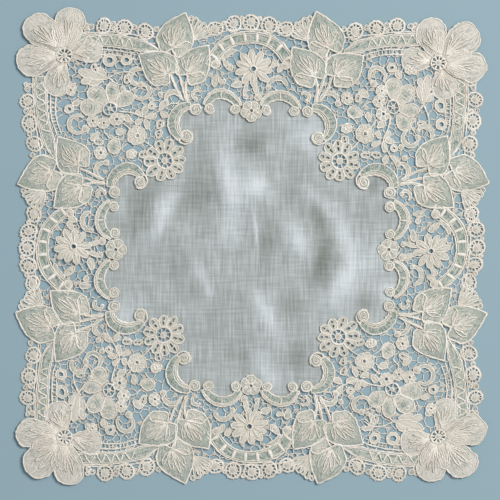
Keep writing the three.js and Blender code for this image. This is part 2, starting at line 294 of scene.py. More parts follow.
# A plain weave of slightly uneven threads, seen as fine upright and level streaks
linen_material, tree, shader = new_material("sheer linen", 0.85)
place = tree.nodes.new("ShaderNodeTexCoord").outputs["Object"]
# The painted light and shade of the folds lightens and darkens the weave's colour
painted_shading = attribute(tree, "painted_shading")["Fac"]
upright = noise(tree, place, (760, 48, 1), 2)
level = noise(tree, place, (46, 640, 1), 2)
clouds = noise(tree, place, (80, 60, 1), 2)
shares = ((painted_shading, 0.5), (upright, 0.42), (level, 0.24), (clouds, 0.2))
tone = sum_of(tree, *shares, base=0.03)
linen_colour = ramp(
    tree,
    tone,
    (0.42, srgb(134, 140, 136)),
    (0.66, srgb(172, 180, 180)),
    (0.9, srgb(213, 222, 227)),
    (1.0, srgb(226, 234, 239)),
)
tree.links.new(linen_colour, shader.inputs["Base Color"])
bump(tree, shader, sum_of(tree, (upright, 0.6), (level, 0.6)), 0.25)
shader.inputs["Alpha"].default_value = 0.93
linen_mesh.materials.append(linen_material)

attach(linen_cloth, "root")
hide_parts("linen_centre")

# The flowers in the four corners: five broad petals of close needle stitches each, raised at the
# middle, with veins of laid thread and a corded edge, round a small button held by nine spokes.

# A bit of work: its points and faces, how close its stitches are, how their rows run, whether it
# is cord, and the outline that it closes
Part = namedtuple("Part", "points quads dense grain corded loop")
outlines = []


def chance(a, b):
    """A number from 0 to 1 that depends only on the two numbers given."""
    wave = np.sin(a * 12.9898 + np.asarray(b) * 78.233) * 43758.5453
    return wave - np.floor(wave)


def strip(rows, columns, wrapped=False):
    """The faces of a grid of points, row after row."""
    row, column = np.meshgrid(
        np.arange(rows - 1), np.arange(columns if wrapped else columns - 1), indexing="ij"
    )
    here = row * columns + column
    beside = row * columns + (column + 1) % columns
    return np.stack([here, beside, beside + columns, here + columns], -1).reshape(-1, 4)


def cloth(grid, dense, across=None, rows_across=False):
    """Needle stitches over a grid of points: close where dense is 1 and sheer where it is 0."""
    rows, columns = grid.shape[:2]
    along = np.linspace(0, 1, rows)[:, None] * np.linalg.norm(grid[-1] - grid[0], axis=1).max()
    along = np.broadcast_to(along, (rows, columns))
    across = np.broadcast_to(np.arange(columns) * 1.2 if across is None else across, (rows, columns))
    grain = [across, along] if rows_across else [along, across]
    grain = np.stack(grain + [np.zeros((rows, columns))], -1).reshape(-1, 3)
    dense = np.broadcast_to(dense, (rows, columns)).ravel()
    return Part(grid.reshape(-1, 3), strip(rows, columns), dense, grain, False, None)


def cord(path, radius, closed=False, sides=6, low=0.8, counts=True):
    """A thread along a path, flattened by low. A closed one can count as a motif's outline."""
    path = np.asarray(path, float)
    if closed:
        ahead = np.roll(path, -1, 0) - np.roll(path, 1, 0)
        ahead = np.concatenate([ahead, ahead[:1]])
        loop = path[:, :2].copy() if counts else None
        path = np.concatenate([path, path[:1]])
        radius = np.full(len(path), radius)
    else:
        ahead = np.gradient(path, axis=0)
        loop = None
        radius = np.broadcast_to(radius, len(path)).copy()
        radius[[0, -1]] *= 0.4
    ahead = ahead / np.linalg.norm(ahead, axis=1, keepdims=True)
    side = np.cross(ahead, (0, 0, 1))
    side = side / np.linalg.norm(side, axis=1, keepdims=True)
    up = np.cross(side, ahead)
    radius = radius * (1 + 0.16 * np.sin(2.3 * path[:, 0] + 1.7 * path[:, 1]))
    turn = np.linspace(0, 2 * np.pi, sides, endpoint=False)[:, None]
    ring = np.cos(turn) * side[:, None] + low * np.sin(turn) * up[:, None]
    points = (path[:, None] + radius[:, None, None] * ring).reshape(-1, 3)
    zeros = np.zeros((len(points), 3))
    return Part(points, strip(len(path), sides, True), zeros[:, 0] + 1, zeros, True, loop)


def raised(points, height):
    """Flat points at a height."""
    points = np.asarray(points, float)
    return np.column_stack([points, np.broadcast_to(height, len(points))])


def button(x, y, radius, height, rise, columns=12, rings=4, dense=1.0):
    """A small dome of close stitches."""
    share = np.linspace(0.06, 1, rings)[:, None]
    angle = np.linspace(0, 2 * np.pi, columns + 1)[None, :]
    dome = height + rise * (1 - share**2) + 0 * angle
    grid = [x + radius * share * np.cos(angle), y + radius * share * np.sin(angle), dome]
    return cloth(np.stack(grid, -1), dense, across=np.degrees(angle) / 12)


def circle(x, y, radius, height, thickness, steps=None, counts=True, sides=6):
    """A ring of cord."""
    steps = steps or max(8, int(radius * 5))
    path = raised(arc(x, y, radius, 0, 360, steps + 1)[:-1], height)
    return cord(path, thickness, True, sides, counts=counts)


def petal_at(start, end, width, base, rise, height, widest=0.7, fullness=1.15, tip=0.5):
    """Where a point of a petal lies that points along +X, for shares along it and across it."""

    def at(along, across):
        along, across = np.broadcast_arrays(np.asarray(along, float), np.asarray(across, float))
        inner = base + (1 - base) * np.sin(np.pi / 2 * np.clip(along / widest, 0, 1)) ** fullness
        outer = np.clip(1 - ((along - widest) / (1 - widest)) ** 2, 0, 1) ** tip
        uneven = 1 + 0.025 * np.sin(13 * along + 7 * end) + 0.02 * np.sin(29 * along + across + end)
        half = np.where(along < widest, inner, outer) * uneven * width / 2
        lift = rise * (1 - across**2) * np.sin(np.pi * (0.12 + 0.78 * along))
        sway = 0.01 * width * np.sin(4 * across + end) * along
        return np.stack([start + (end - start) * along + sway, across * half, height + lift], -1)

    return at


def petal(at, rows, columns, dense, edge, widest=0.7, round_steps=6, slit=0.0, rows_across=False):
    """The stitches and the corded edge of a petal, with two small slits left open or none."""
    bend = np.sin(np.radians(np.linspace(0, 87, round_steps)))
    along = np.concatenate([np.linspace(0, widest, rows)[:-1], widest + (1 - widest) * bend])
    across = np.linspace(-1, 1, columns)
    grid = at(along[:, None], across[None, :])
    width = abs(grid[:, 0, 1]).max()
    line = np.concatenate([grid[:, 0], grid[::-1, -1]]) + (0, 0, 0.1)
    filled = dense(along[:, None], across[None, :]) if callable(dense) else dense
    stitches = cloth(grid, filled, across * width, rows_across)
    if slit:
        middle = (along[:-1] + along[1:]) / 2
        lower_or_upper = ((middle > 0.2) & (middle < 0.44)) | ((middle > 0.58) & (middle < 0.84))
        inner = lower_or_upper[:, None] & (abs(across[:-1] + across[1:]) / 2 < slit)[None, :]
        stitches = stitches._replace(quads=stitches.quads[~inner.ravel()])
    return [stitches, cord(line, edge, True, 5)]


def moved(parts, x, y, turn):
    """The same work turned by some degrees about its origin, then moved."""
    c, s = math.cos(math.radians(turn)), math.sin(math.radians(turn))
    spin = np.array([[c, s, 0], [-s, c, 0], [0, 0, 1]])
    result = []
    for part in parts:
        loop = part.loop
        if loop is not None:
            loop = loop @ spin[:2, :2] + (x, y)
        result.append(part._replace(points=part.points @ spin + (x, y, 0), loop=loop))
    return result


def teardrop(at, tip_along, tip_across, width, start, radius):
    """A narrow loop of thread on a petal or leaf, from its base to a tip."""
    share = np.linspace(0, 1, 16)
    opening = width * np.sin(np.pi * share**1.5) ** 0.7
    along = start + (tip_along - start) * share
    out = at(along, tip_across * share**0.8 + opening / 2)
    back = at(along, tip_across * share**0.8 - opening / 2)[::-1]
    return cord(np.concatenate([out, back[1:-1]]) + (0, 0, 0.3), radius, True, 5, counts=False)


class Piece:
    """The mesh of one piece of the border, put together motif by motif."""

    def __init__(self, name, stitches):
        self.name = name
        self.stitches = stitches
        self.parts = []

    def put(self, parts, places=((0, False),), stray=0.0):
        """Adds a motif at each of the places, each up to a stray off its exact place."""
        for quarter, mirrored in places:
            number = len(self.parts) + len(self.name)
            shift = stray * (2 * chance(number, (1, 2)) - 1)
            for part in parts:
                if part.loop is not None:
                    outlines.append(turned(part.loop + shift, quarter, mirrored))
                self.parts.append(
                    part._replace(
                        points=turned(part.points + (*shift, 0), quarter, mirrored),
                        quads=part.quads[:, ::-1] if mirrored else part.quads,
                        grain=part.grain + (0, 0, 3.7 * number),
                    )
                )

    def make(self):
        """Makes the finished piece, in thread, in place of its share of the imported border."""
        starts = np.cumsum([0] + [len(part.points) for part in self.parts])
        points = settled(np.concatenate([part.points for part in self.parts])) * MM
        quads = np.concatenate([part.quads + start for part, start in zip(self.parts, starts)])
        mesh = bpy.data.meshes.new(self.name)
        mesh.from_pydata(points.tolist(), [], quads.tolist())
        mesh.shade_smooth()
        dense = np.concatenate([part.dense for part in self.parts])
        mesh.attributes.new("dense", "FLOAT", "POINT").data.foreach_set("value", dense)
        grain = np.concatenate([part.grain for part in self.parts])
        mesh.attributes.new("grain", "FLOAT_VECTOR", "POINT").data.foreach_set("vector", grain.ravel())
        mesh.materials.append(self.stitches)
        mesh.materials.append(cord_material)
        corded = np.concatenate([np.full(len(part.quads), part.corded) for part in self.parts])
        mesh.polygons.foreach_set("material_index", corded.astype(np.int32))
        piece = bpy.data.objects.new(self.name, mesh)
        bpy.context.collection.objects.link(piece)
        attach(piece, "root")
        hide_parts("lace_border")


# Overcast and laid thread
cord_material, tree, shader = new_material("lace thread", 0.75)
place = tree.nodes.new("ShaderNodeTexCoord").outputs["Object"]
strands = noise(tree, place, (1400, 1400, 900), 2)
patches = noise(tree, place, (60, 60, 60), 1)
cord_colour = ramp(
    tree,
    sum_of(tree, (strands, 0.6), (patches, 0.4)),
    (0.3, srgb(206, 199, 185)),
    (0.5, srgb(238, 233, 223)),
    (0.7, srgb(252, 250, 246)),
)
tree.links.new(cord_colour, shader.inputs["Base Color"])
bump(tree, shader, strands, 0.25)


def stitch_material(name, *colours):
    """The material of needle stitches, with their colours from sheer to close."""
    material, tree, shader = new_material(name, 0.85)
    grain = attribute(tree, "grain")["Vector"]
    dense = attribute(tree, "dense")["Fac"]
    rows_of_thread = noise(tree, grain, (0.25, 1.3, 1), 3)
    mesh_of_thread = noise(tree, grain, (0.95, 0.95, 1), 2)
    shares = ((dense, 0.62), (rows_of_thread, 1.1), (mesh_of_thread, 1.0))
    cover = sum_of(tree, *shares, base=-0.5)
    colour = ramp(tree, cover, *zip((0.44, 0.66, 0.88, 1.0), colours))
    tree.links.new(colour, shader.inputs["Base Color"])
    bump(tree, shader, rows_of_thread, 0.5)
    opacity = ramp(tree, cover, (0.42, (0.72,) * 3 + (1,)), (0.72, (1, 1, 1, 1)))
    tree.links.new(opacity, shader.inputs["Alpha"])
    return material


close_stitches = stitch_material(
    "close stitches",
    srgb(156, 163, 157),
    srgb(178, 183, 175),
    srgb(201, 201, 193),
    srgb(223, 219, 211),
)

# Each flower: its centre, and the turns and reaches of its petals, the topmost first. Then how
# pointed the first three are, and the turns of the three ribbed lobes where petals lap over
corner_flowers = (
    ((-130.8, 136.4), (135, 81, 191, 13, 254), (35.2, 33.0, 33.2, 27, 29)),
    ((132.0, 130.0), (44, 103, -9, 172, -75), (35.0, 32.4, 34.0, 26, 26.5)),
    ((-131.3, -132.0), (226, 173, 277, 105, 348), (35.8, 33.7, 33.4, 26, 26)),
    ((130.9, -131.3), (-49, 10, -102, 70, 194), (35.4, 34.8, 31.8, 27, 26.5)),
)
outer_tips = ((0.42, 0.5, 0.5), (0.44, 0.5, 0.85), (0.42, 0.6, 0.5), (0.44, 1.1, 0.45))
inner_tips = (0.5, 0.55)
lobe_turns = ((108, 66, 180), (17, -24, 90), (199, 158, 264), (-76, -117, -4))
petal_start = 4.2
petal_heights = (1.9, 1.5, 1.6, 1.0, 1.2)
petal_widths = (21.8, 21, 20.8, 18, 17.8)
# Veins of a petal: how far across and along it each ends, and how wide open its loop is
petal_veins = (
    (-0.7, 0.5, 0.18),
    (-0.24, 0.7, 0.22),
    (0.24, 0.76, 0.22),
    (0.7, 0.54, 0.18),
)
lobe_start = 5
lobe_reach = 23.5
lobe_width = 9.5
button_radius = 1.9
button_ring = 5.0
button_spokes = 9


def corner_density(along, across):
    """Sheer over the inner part of a petal, and closer towards its end."""
    inner = np.clip((0.9 - along) / 0.4, 0, 1)
    return 0.7 - 0.3 * inner * (1 - 0.3 * across**2)


def ribs(at, count, reach_across, shortest, longest, thickness):
    """Fine ribs of thread that fan out from the base of a petal."""
    result = []
    for number in range(count):
        across = reach_across * (2 * number / (count - 1) - 1)
        length = shortest + (longest - shortest) * chance(number, 7 * shortest)
        share = np.linspace(0.04, length, 16)
        sway = across + 0.03 * np.sin(9 * share + number)
        rib = cord(at(share, sway) + (0, 0, 0.1), np.linspace(thickness, 0.45 * thickness, 16), sides=4)
        result.append(rib._replace(corded=number % 3 == 1))
    return result


def picots(at, count):
    """Small loops of thread all round the edge of a petal, each seen as a knot."""
    bend = np.sin(np.pi / 2 * np.linspace(0, 1, count))
    along = np.concatenate([0.3 + 0.7 * bend, 0.3 + 0.7 * bend[::-1]])
    across = np.repeat([1.02, -1.02], count)
    return [button(x, y, 0.5, z, 0.3, 6, 2) for x, y, z in at(along, across)]


corner_work = Piece("corner_flowers", close_stitches)
for ((x, y), turns, reaches), tips, lobes in zip(corner_flowers, outer_tips, lobe_turns):
    petals = zip(turns, reaches, petal_heights, petal_widths, tips + inner_tips)
    for turn, reach, height, width, tip in petals:
        at = petal_at(petal_start, reach, width, 0.26, rise=0.9, height=height, fullness=0.95, tip=tip)
        parts = petal(at, 20, 17, corner_density, edge=0.46, round_steps=11)
        for across, length, opening in petal_veins:
            parts.append(teardrop(at, length, across, opening, start=0.1, radius=0.42))
        parts += ribs(at, 15, 0.88, shortest=0.42, longest=0.78, thickness=0.36) + picots(at, 22)
        corner_work.put(moved(parts, x, y, turn))
    for turn in lobes:
        at = petal_at(lobe_start, lobe_reach, lobe_width, 0.4, rise=0.8, height=2.1, widest=0.6, tip=0.6)
        lobe_ribs = ribs(at, 6, 0.72, shortest=0.76, longest=0.92, thickness=0.5)
        parts = petal(at, 12, 9, 0.7, edge=0.36, widest=0.6)
        parts += [rib._replace(corded=True) for rib in lobe_ribs]
        corner_work.put(moved(parts, x, y, turn))
    parts = [button(x, y, button_radius - 0.1, 2.0, 0.6), circle(x, y, button_radius, 2.0, 0.42)]
    corner_work.put(parts + [circle(x, y, button_ring, 2.3, 0.42)])
    for number in range(button_spokes):
        spoke = [(2.0, 0, 2.1), (3.6, 0, 2.2), (5.2, 0, 2.4)]
        turn = 360 / button_spokes * number + 9 * chance(number, y)
        corner_work.put(moved([cord(spoke, 0.62 + 0.3 * chance(number, x))], x, y, turn))
corner_work.make()

# The leaves, three in each cluster: sheer stitches inside a corded heart-shaped edge, with loops
# of thread for veins, and one lobe worked closer behind a curved rib.

# The places on both halves of every side, mirrored in one of them
EIGHT = [(quarter, mirrored) for quarter in range(4) for mirrored in (False, True)]

sheer_stitches = stitch_material(
    "sheer stitches",
    srgb(138, 155, 148),
    srgb(168, 181, 173),
    srgb(194, 195, 186),
    srgb(218, 214, 204),
)

# From the notch at the stem to the tip: x, y, x, y, width and the side of the close lobe
leaves = (
    (-58, 122, -79, 136.5, 25, 1),
    (-55.5, 140, -46, 165.5, 26.5, -1),
    (-45, 120.5, -29, 141, 24.5, -1),
)
# Veins: how far along and across the leaf each ends, and how wide open its loop is
leaf_veins = (
    (0.72, 0.03, 0.2),
    (0.58, 0.48, 0.24),
    (0.62, -0.44, 0.24),
    (0.36, 0.76, 0.26),
    (0.38, -0.78, 0.26),
)
leaf_widest = 0.16
leaf_rise = 0.7
leaf_height = 1.25


def leaf_at(length, width):
    """Where a point of a leaf lies that points along +X from its notch."""

    def at(along, across):
        along, across = np.broadcast_arrays(np.asarray(along, float), np.asarray(across, float))
        first = 0.78 + 0.22 * np.sin(np.pi / 2 * np.clip(along / leaf_widest, 0, 1))
        beyond = np.clip((along - leaf_widest) / (1 - leaf_widest), 0, 1)
        last = np.cos(np.pi / 2 * beyond**1.15) ** 1.06
        half = np.where(along < leaf_widest, first, last) * width / 2
        back = -0.16 * np.sin(np.pi * abs(across) ** 1.2) * (1 - along) ** 3
        lift = leaf_rise * (1 - across**2) * np.sin(np.pi * (0.15 + 0.75 * along))
        return np.stack([length * (along + back), across * half, leaf_height + lift], -1)

    return at


leaf_work = Piece("leaves", sheer_stitches)
for x, y, tip_x, tip_y, width, lobe in leaves:
    at = leaf_at(math.hypot(tip_x - x, tip_y - y), width)
    along = 1 - (1 - np.linspace(0, 1, 16)) ** 1.2
    across = np.linspace(-1, 1, 15)
    grid = at(along[:, None], across[None, :])
    # Sheer stitches, a little closer along the middle and in the one lobe
    close = np.clip((0.36 - along[:, None]) / 0.1, 0, 1) * np.clip(lobe * across[None, :] * 4 - 0.6, 0, 1)
    line = np.concatenate([grid[:, -1], grid[::-1, 0], grid[0, 1:-1]]) + (0, 0, 0.1)
    middle = np.exp(-(((along[:, None] - 0.34) / 0.3) ** 2) - (across[None, :] / 0.7) ** 2)
    parts = [cloth(grid, 0.24 + 0.25 * close + 0.36 * middle, across * width / 2), cord(line, 0.6, True)]
    for side in (-0.5, 0, 0.5):
        share = np.linspace(0, 1, 7)
        parts.append(cord(at(0.02 + 0.3 * share, side * share) + (0, 0, 0.2), 0.45, sides=5))
    for tip_along, tip_across, opening in leaf_veins:
        parts.append(teardrop(at, tip_along, -lobe * tip_across, opening, start=0.08, radius=0.36))
    share = np.linspace(0, 1, 12)
    rib = at(0.36 * np.sin(share * 2.2), lobe * share * 0.97) + (0, 0, 0.25)
    parts.append(cord(rib, 0.5))
    turn = math.degrees(math.atan2(tip_y - y, tip_x - x))
    leaf_work.put(moved(parts, x, y, turn), EIGHT, stray=0.6)
leaf_work.make()

# The bands: an arch over the middle of each side, with sheer windows between bars, and beside
# each corner flower a long band with a zigzag thread and a narrow ladder along it.

# The places on every side where a motif isn't mirrored
FOUR = [(quarter, False) for quarter in range(4)]


def soft_line(points, step=1.6):
    """A soft line through a few points, with a point at about every step."""
    points = np.array(points, float)
    ends = np.concatenate([2 * points[:1] - points[1:2], points, 2 * points[-1:] - points[-2:-1]])
    line = []
    for a, b, c, d in zip(ends, ends[1:], ends[2:], ends[3:]):
        count = max(2, int(np.linalg.norm(c - b) / step))
        t = np.linspace(0, 1, count, endpoint=False)[:, None]
        squared = 2 * a - 5 * b + 4 * c - d
        cubed = 3 * b - a - 3 * c + d
        line.append((2 * b + (c - a) * t + squared * t**2 + cubed * t**3) / 2)
    return np.concatenate(line + [points[-1:]])


def beside(line, distance):
    """A line at a distance to the left of another."""
    ahead = np.gradient(line, axis=0)
    ahead = ahead / np.linalg.norm(ahead, axis=1, keepdims=True)
    distance = np.broadcast_to(distance, len(line))[:, None]
    return line + distance * np.stack([-ahead[:, 1], ahead[:, 0]], 1)


def side_cord(line, distance, height, thickness):
    """A cord along a line, at a distance to its left."""
    return cord(raised(beside(line, distance), height), thickness, sides=5)


def band(line, width, height, dense, edge, columns=5, rise=0.3, rows_across=False):
    """Sheer or close stitches between two corded edges."""
    share = np.linspace(-1, 1, columns)
    rows = [raised(beside(line, s * width / 2), height + rise * (1 - s * s)) for s in share]
    loop = np.concatenate([rows[0], rows[-1][::-1]]) + (0, 0, 0.1)
    return [cloth(np.stack(rows, 1), dense, rows_across=rows_across), cord(loop, edge, True)]


band_work = Piece("bands", sheer_stitches)

# The long bands, which narrow a little at the flower and to a point at the leaves
long_points = ((-121.5, 147.4), (-110, 147), (-96, 146.5), (-82, 144.5), (-65, 139))
long_widest = 8.4
long_line = soft_line(long_points)
long_width = long_widest * np.clip(np.linspace(4.6, 0.15, len(long_line)), 0, 1)
long_width = long_width * np.clip(np.linspace(0.7, 7, len(long_line)), 0, 1)
parts = band(long_line, long_width, 1.0, dense=0.3, edge=0.5)
parts += [side_cord(long_line, side * 0.37 * long_width, 1.35, 0.34) for side in (-1, 1)]
tooth_step = 3.0
tooth_reach = 2.7
teeth = soft_line(long_points, tooth_step)[1:-5]
reach = np.where(np.arange(len(teeth)) % 2, tooth_reach, -tooth_reach)
parts.append(cord(raised(soft_line(beside(teeth, reach), 0.9), 1.5), 0.5, sides=5))
band_work.put(parts, EIGHT)

# The ladders
rung_step = 2.3
ladder_half = 1.7
rung_half = 1.8
ladder = soft_line(((-109, 138.5), (-100, 138.7), (-90, 137.6), (-80, 134.6)), rung_step)
parts = [side_cord(ladder, side * ladder_half, 1.0, 0.5) for side in (-1, 1)]
for a, b in zip(beside(ladder, rung_half)[1:-1], beside(ladder, -rung_half)[1:-1]):
    parts.append(cord(raised([a, (a + b) / 2, b], 1.0), 0.42, sides=4))
band_work.put(parts, EIGHT)

# The arches
arch_x, arch_y, arch_radius = 0, 117.5, 30
arch_start, arch_end = 20, 160
arch_width = 8.0
arch_bars = 8
bar_margin = 12
arch_line = arc(arch_x, arch_y, arch_radius, arch_start, arch_end, 44)
parts = band(arch_line, arch_width, 1.1, dense=0.2, edge=0.52)
parts += [side_cord(arch_line, side * 2.7, 1.45, 0.34) for side in (-1, 1)]
for angle in np.linspace(arch_start + bar_margin, arch_end - bar_margin, arch_bars):
    bar = [(26.6, 0, 1.4), (28.5, 0, 1.55), (31.5, 0, 1.55), (33.4, 0, 1.4)]
    parts += moved([cord(bar, 1.15, sides=8, low=0.35)], arch_x, arch_y, angle)
for x in (-24.5, 24.5):
    parts += [button(x, 128.5, 2.6, 1.4, 0.6), circle(x, 128.5, 2.8, 1.4, 0.5)]
band_work.put(parts, FOUR)
band_work.make()

# The scrolls along the linen: a sheer strip between cords, curled into a knob at each end. They
# are sewn over the edge of the linen and hold it.


def knob(x, y, radius, height):
    """The curled end of a scroll: a raised dome with its cord wound round it."""
    angle = np.linspace(0, 3.2 * np.pi, 34)
    away = np.linspace(radius, radius * 0.3, 34)
    rise = height + 0.1 + 0.5 * (1 - away / radius)
    spiral = np.stack([x + away * np.cos(angle), y + away * np.sin(angle), rise], 1)
    close = np.array([0.75, 0.6, 0.35, 0.35])[:, None]
    dome = button(x, y, radius, height - 0.1, 0.5, dense=close)
    return [dome, cord(spiral, 0.4, sides=5), circle(x, y, radius, height, 0.42)]


def scroll(line, width, height, ends, close, cords):
    """A strip of stitches between corded edges, narrower at its ends, with cords along it."""
    wide = width * (ends + (1 - ends) * np.sin(np.pi * np.linspace(0, 1, len(line))))
    close = np.array(close)[None, :]
    parts = band(line, wide, height, close, edge=0.5, columns=close.size, rise=0.35, rows_across=True)
    return parts + [side_cord(line, s * wide / 2, height + 0.4, 0.36) for s in cords]


scroll_height = 1.4
# How close the stitches are, from one edge of the strip to the other
side_closeness = (0.6, 0.35, 0.15, 0.15, 0.2, 0.3)
corner_closeness = (0.25, 0.15, 0.15, 0.2, 0.4, 0.4)
# Knobs: x, y and radius
knobs = ((-11, 97, 3.3), (-30, 97, 3.3), (-39.5, 96.5, 3.7), (-46.8, 78.5, 3.8))

scroll_work = Piece("scrolls", sheer_stitches)
parts = scroll(arc(*side_scroll, 26), 6.4, scroll_height, 0.7, side_closeness, (-0.66, -0.4))
parts.append(cord(raised([(-20.5, 104.8), (-20.5, 107), (-20.5, 109.6)], 1.8), 0.6))
scroll_work.put(parts, EIGHT)
parts = scroll(arc(*corner_scroll, 30), 8.0, scroll_height, 0.6, corner_closeness, (0.25, 0.62))
inner_cord = arc(-43.8, 87, 8.4, 110, 215, 20)
parts.append(cord(raised(inner_cord, 1.6), 0.5))
curl = soft_line(((-52.6, 77), (-51, 74.2), (-47.5, 73), (-44, 74.5), (-42.2, 78), (-43, 81.5)))
parts.append(cord(raised(curl, 1.6), 0.6))
scroll_work.put(parts, EIGHT)
for x, y, radius in knobs:
    scroll_work.put(knob(x, y, radius, 1.6), EIGHT)
scroll_work.make()

# The flowers on the axes and diagonals, each of small corded petals: one over the linen's edge at
# each side, an open one with slit petals at each inner corner, and a daisy under each arch.


def small_petal(start, end, width, height, dense, base=0.35, widest=0.62, edge=0.42, rise=0.35, slit=0.0):
    """A petal of a small flower, along +X from the flower's centre."""
    at = petal_at(start, end, width, base, rise, height, widest)
    return petal(at, 6, 9, dense, edge, widest, 5, slit, rows_across=width > 8)


def wheel(x, y, inner, outer, height, spokes):
    """A small button held by spokes in an open ring."""
    parts = [button(x, y, inner, height, 0.4), circle(x, y, inner, height, 0.42)]
    parts.append(circle(x, y, outer, height + 0.1, 0.55))
    for turn in np.arange(0, 360, 360 / spokes):
        spoke = [(inner, 0, height), ((inner + outer) / 2, 0, height), (outer, 0, height)]
        parts += moved([cord(spoke, 0.4, sides=5)], x, y, turn + 22)
    return parts


flower_work = Piece("flowers", sheer_stitches)

# Over the linen's edge
edge_flower = (0, 96)
parts = []
for turn in range(-90, 270, 72):
    work = small_petal(1.4, 7.2, 6.6, 1.5, 0.55, base=0.4, rise=0.6, edge=0.46)
    work.append(cord([(2.2, 0, 2.2), (4, 0, 2.3), (5.6, 0, 2.1)], 0.32, sides=5))
    parts += moved(work, *edge_flower, turn)
parts.append(circle(*edge_flower, 1.5, 1.9, 0.4))
flower_work.put(parts, FOUR)

# At the inner corners
open_flower = (-61.5, 61.5)
open_petals = 10
parts = wheel(*open_flower, 2.2, 5.6, height=1.5, spokes=8)
for number in range(open_petals):
    turn = 360 / open_petals * number + 7 * chance(number, 2)
    reach = 14.0 + 1.3 * chance(number, 4)
    work = small_petal(5.2, reach, 6.5, 1.4, 0.65, base=0.5, edge=0.44, slit=0.15)
    parts += moved(work, *open_flower, turn)
flower_work.put(parts, FOUR)

# Under the arches
daisy = (2, 125.5)
daisy_turns = (100, 66, 31, -2, -38, -88, 232, 195, 160, 130)
parts = []
for number, turn in enumerate(daisy_turns):
    reach = 13.6 - 1.6 * chance(number, 3)
    work = small_petal(2.2, reach, 4.5, 1.4, 0.8, base=0.3, rise=0.6, edge=0.44)
    work.append(cord([(3, 0, 1.9), (6, 0, 2.1), (reach - 3, 0, 2)], 0.35, sides=5))
    parts += moved(work, *daisy, turn)
parts.append(circle(*daisy, 2.1, 1.9, 0.6))
flower_work.put(parts, FOUR, stray=0.6)
flower_work.make()

# The sprays: in each corner of the ground an open flower with rosettes, buds, rings, tendrils and
# small leaves, and smaller sprigs beside the daisies. Stems of laid thread tie them together.

# Petals and small leaves: x, y, turn, length, width and how close the stitches are
spray_petals = (
    (-104, 99.5, 178, 16, 11.5, 0.35),
    (-102, 103, 139, 15.5, 11, 0.35),
    (-98.5, 103.5, 82, 14.5, 9.5, 0.35),
    (-95, 102, 32, 14, 11, 0.35),
    (-94, 77.5, 250, 11, 9.5, 0.35),
    (-101, 120.5, 166, 21, 6, 0.9),
    (-104, 119, 190, 10, 4.5, 0.9),
    (-108, 124.5, 128, 7, 4.5, 0.9),
    (-102, 122.5, 140, 8, 4.2, 0.9),
    (-112, 121, 205, 8, 4.5, 0.9),
    (-19, 131.5, 308, 9.5, 4.6, 0.6),
    (13.5, 127, 38, 6.5, 3.8, 0.8),
    (19, 123.5, 62, 7, 4.0, 0.8),
    (-25.5, 112.5, 85, 8, 4.6, 0.5),
    (-23, 116, 0, 5, 3.2, 0.7),
    (-14, 113, 15, 8, 4.2, 0.7),
    (2.6, 118.5, 282, 12, 3.2, 0.75),
    (-1.5, 117.5, 253, 11, 2.6, 0.75),
    (-75, 92, 8, 8, 3.8, 0.8),
    (-76, 93, 75, 6.5, 3.8, 0.8),
    (-77, 92.5, 140, 6, 3.6, 0.8),
    (-77, 90, 205, 6, 3.6, 0.8),
    (-75, 90.5, 290, 7.5, 3.8, 0.7),
    (-65, 97, 60, 7, 4, 0.8),
    (-65, 95, 330, 6, 4.2, 0.8),
    (-66, 83, 75, 6.5, 4.6, 0.8),
    (-85.5, 88, 130, 6.5, 4.4, 0.8),
    (-89, 82.5, 190, 6.5, 4.4, 0.8),
    (-107, 82, 230, 8, 5, 0.8),
    (-104, 74, 160, 7, 5, 0.8),
    (-72, 66, 190, 7, 5, 0.8),
    (-66, 76, 80, 6, 5, 0.8),
    (-119, 105, 200, 7, 4.4, 0.8),
    (-88, 116, 75, 6.5, 4.6, 0.8),
)
# The middle of the open flower: x, y, radius of the button and of the ring
spray_wheel = (-99.5, 99, 1.3, 4.4)
# Rosettes: x, y, radius, petals and the radius of the hole
rosettes = (
    (-80.5, 79, 6.6, 7, 1.3),
    (-94.8, 91.4, 4.6, 6, 1.3),
    (-103.2, 88.8, 4.2, 5, 1.0),
    (-111, 91.0, 4.3, 6, 1.0),
    (-126, 112, 3.6, 5, 0.9),
    (-106, 67, 4.2, 6, 1.1),
    (-84, 66, 3.4, 5, 0.9),
)
# Rings: x, y, radius of the outer cord and of the hole
rings = (
    (-99.5, 133, 4.4, 2.4),
    (-87.5, 133, 3.8, 2.0),
    (-128, 99, 3.2, 1.6),
    (-70.5, 99.5, 2.4, 1.1),
    (-116, 134, 2.2, 1.0),
)
# Curled tendrils: x, y, radius, from and to in degrees, the width at the middle, the radius of
# the bud at the end, and whether they repeat on both sides
tendrils = (
    (-122, 88.5, 6.0, 50, 330, 2.4, 2.4, False),
    (-78, 110, 5.4, 200, 455, 2.6, 2.0, False),
    (-80.5, 121, 5.2, 60, 250, 3.4, 1.4, False),
    (-54.5, 103.5, 6.0, 15, 190, 3.0, 2.0, True),
    (-38, 107, 3.2, 40, 250, 2.0, 1.2, True),
    (19, 113.5, 6.2, 8, 185, 3.4, 1.6, False),
    (-9, 127, 11.5, 95, 155, 3.4, 0.9, False),
)
# Stems of laid thread, each through a few points: those of the leaves, and those of the sprays
leaf_stems = (
    ((-57, 122), (-53, 112), (-48, 103)),
    ((-54, 140), (-51, 122), (-46, 103)),
    ((-45, 121), (-46.5, 112), (-45, 102)),
)
spray_stems = (
    ((-91, 88), (-86, 84), (-80.5, 79)),
    ((-76, 75), (-71, 71), (-67, 67)),
    ((-94, 97), (-84, 95), (-75, 92), (-66, 96), (-58, 101), (-50, 101)),
    ((-99, 77), (-103, 82), (-103, 88)),
    ((-97, 66), (-92, 70), (-87, 74)),
    ((-101, 120.5), (-98, 119), (-97, 117)),
    ((-101, 120.5), (-92, 124), (-85, 124), (-80, 121)),
    ((-117, 91), (-113, 93), (-108, 97)),
    ((-89, 110), (-84, 112), (-80, 115)),
)
